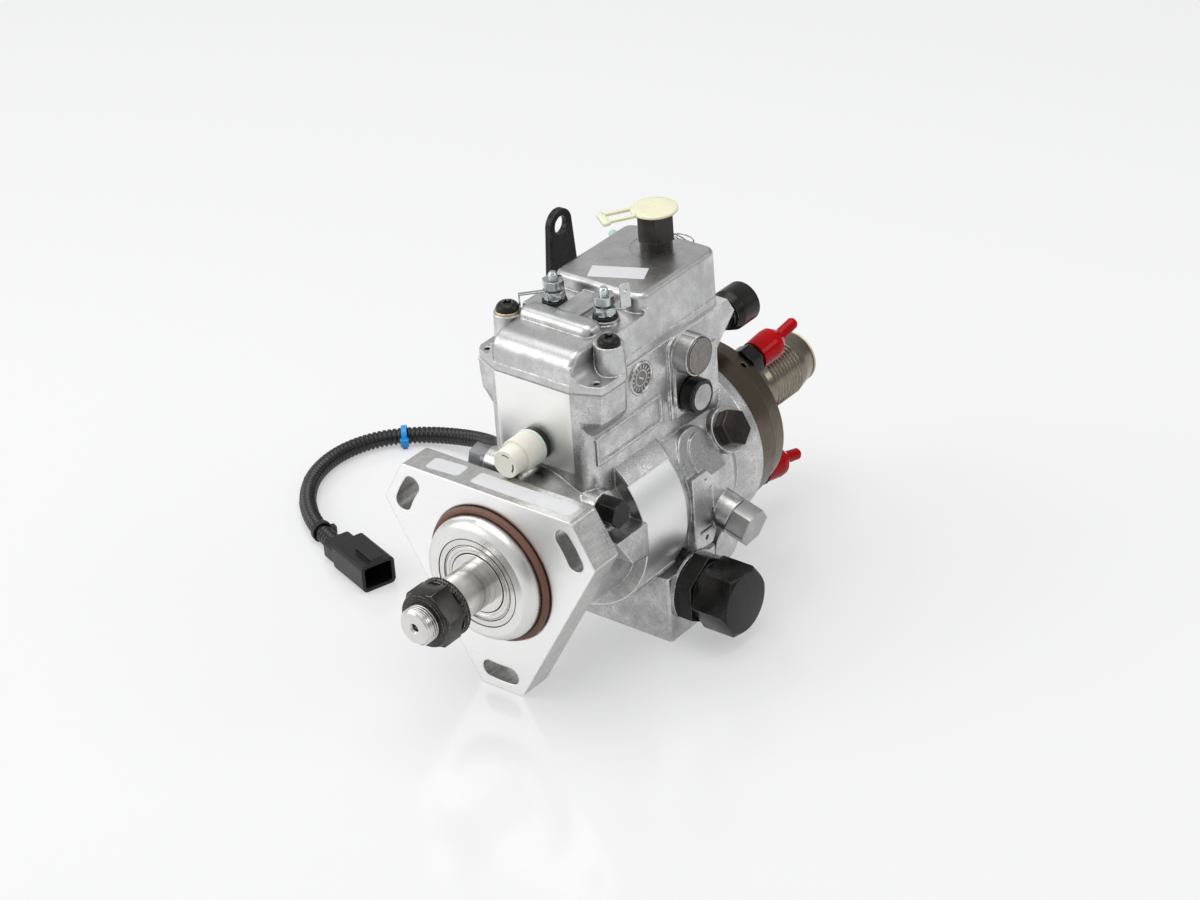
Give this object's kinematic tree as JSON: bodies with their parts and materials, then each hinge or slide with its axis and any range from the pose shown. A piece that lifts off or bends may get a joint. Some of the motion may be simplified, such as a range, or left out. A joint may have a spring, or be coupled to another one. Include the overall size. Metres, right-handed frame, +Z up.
{
  "type": "diesel injection pump",
  "caption": "Rotary diesel injection pump: cast body with triangular flange, governor cover, throttle lever, capped fuel ports and a loose sensor lead.",
  "frame": {"origin": "where the shaft axis meets the mounting face of the flange", "axes": "+Y back along the shaft, +Z up towards the cover, +X to the right of the shaft end as seen from the front"},
  "size_m": [0.3278, 0.339, 0.224],
  "materials": {
    "cast_aluminium": "cast satin",
    "bright_steel": "ground",
    "black_steel": "black oxide",
    "brown_steel": "dark brown",
    "tan_plating": "tan plated",
    "zinc": "zinc plated",
    "grey_plug": "dark grey",
    "yellow_zinc": "yellow passivated",
    "seal_rubber": "matt",
    "gasket": "matt",
    "red_plastic": "gloss",
    "cream_plastic": "translucent",
    "black_plastic": "matt",
    "blue_plastic": "satin"
  },
  "bodies": {
    "casing": {"housing": "cast_aluminium", "governor_cover": "cast_aluminium", "bearing_outer_race": "bright_steel", "transfer_pump_liner": "bright_steel", "adjuster_screw": "bright_steel", "advance_cap": "black_steel", "advance_plug": "black_steel", "delivery_nuts": "black_steel", "return_fitting": "black_steel", "cover_screws": "black_steel", "adjuster_nut": "black_steel", "ring_plug": "black_steel", "pivot_plug": "black_steel", "head_locking_screws": "brown_steel", "hydraulic_head": "tan_plating", "inlet_connector": "tan_plating", "terminal_posts": "zinc", "terminal_tabs": "zinc", "side_plug": "zinc", "drain_plug": "zinc", "vent_plug": "zinc", "advance_cap_washer": "zinc", "throttle_shaft_plug": "grey_plug", "bearing_shield": "grey_plug", "cover_screw_washers": "yellow_zinc", "pilot_o_ring": "seal_rubber", "shaft_seal": "seal_rubber", "cover_gasket": "gasket", "delivery_caps": "red_plastic", "front_port_cap": "cream_plastic", "inlet_plug": "cream_plastic", "return_cap": "cream_plastic", "connector": "black_plastic", "conduit": "black_plastic", "conduit_tie_black": "black_plastic", "speed_sensor": "black_plastic", "terminal_insulators": "black_plastic", "adjuster_cap": "black_plastic", "front_port_fitting": "black_plastic", "shutoff_solenoid": "black_plastic", "conduit_tie_blue": "blue_plastic"},
    "drive": {"drive_shaft": "bright_steel", "shaft_nut": "black_steel", "shaft_washers": "black_steel", "bearing_inner_race": "bright_steel", "bearing_balls": "bright_steel", "weight_cage": "bright_steel", "governor_weights": "bright_steel", "distributor_rotor": "bright_steel", "cam_rollers": "bright_steel", "pump_plungers": "bright_steel", "transfer_pump_rotor": "bright_steel"},
    "throttle": {"throttle_shaft": "bright_steel", "throttle_lever": "black_steel"},
    "timing_piston": {"advance_piston": "bright_steel"},
    "timing_cam": {"cam_ring": "bright_steel"},
    "sleeve": {"thrust_sleeve": "bright_steel"},
    "arm": {"governor_arm": "bright_steel"},
    "valve": {"metering_valve": "bright_steel"}
  },
  "joints": [
    {"name": "drive_turn", "type": "hinge", "parent": "casing", "child": "drive", "pos_m": [0, 0, 0], "axis": [0, 1, 0], "continuous": true},
    {"name": "throttle_swing", "type": "hinge", "parent": "casing", "child": "throttle", "pos_m": [0, 0.1295, 0.0825], "axis": [1, 0, 0], "range_deg": [-20, 20]},
    {"name": "timing_piston_slide", "type": "slide", "parent": "casing", "child": "timing_piston", "axis": [1, 0, 0], "range_m": [-0.0042, 0.0042]},
    {"name": "timing_cam_turn", "type": "hinge", "parent": "casing", "child": "timing_cam", "pos_m": [0, 0.107, 0], "axis": [0, 1, 0], "range_deg": [-5.1, 5.1]},
    {"name": "sleeve_slide", "type": "slide", "parent": "casing", "child": "sleeve", "axis": [0, 1, 0], "range_m": [-0.004, 0]},
    {"name": "governor_arm_swing", "type": "hinge", "parent": "casing", "child": "arm", "pos_m": [0, 0.058, 0.046], "axis": [1, 0, 0], "range_deg": [-5.1, 0]},
    {"name": "metering_valve_turn", "type": "hinge", "parent": "casing", "child": "valve", "pos_m": [-0.012, 0.13, 0.03], "axis": [0, 0, 1], "range_deg": [0, 11.5]}
  ],
  "couplings": [
    {"joint": "timing_cam_turn", "follows": "timing_piston_slide", "rad_per_m": -20.833},
    {"joint": "governor_arm_swing", "follows": "sleeve_slide", "rad_per_m": 21.739},
    {"joint": "metering_valve_turn", "follows": "sleeve_slide", "rad_per_m": -49}
  ]
}
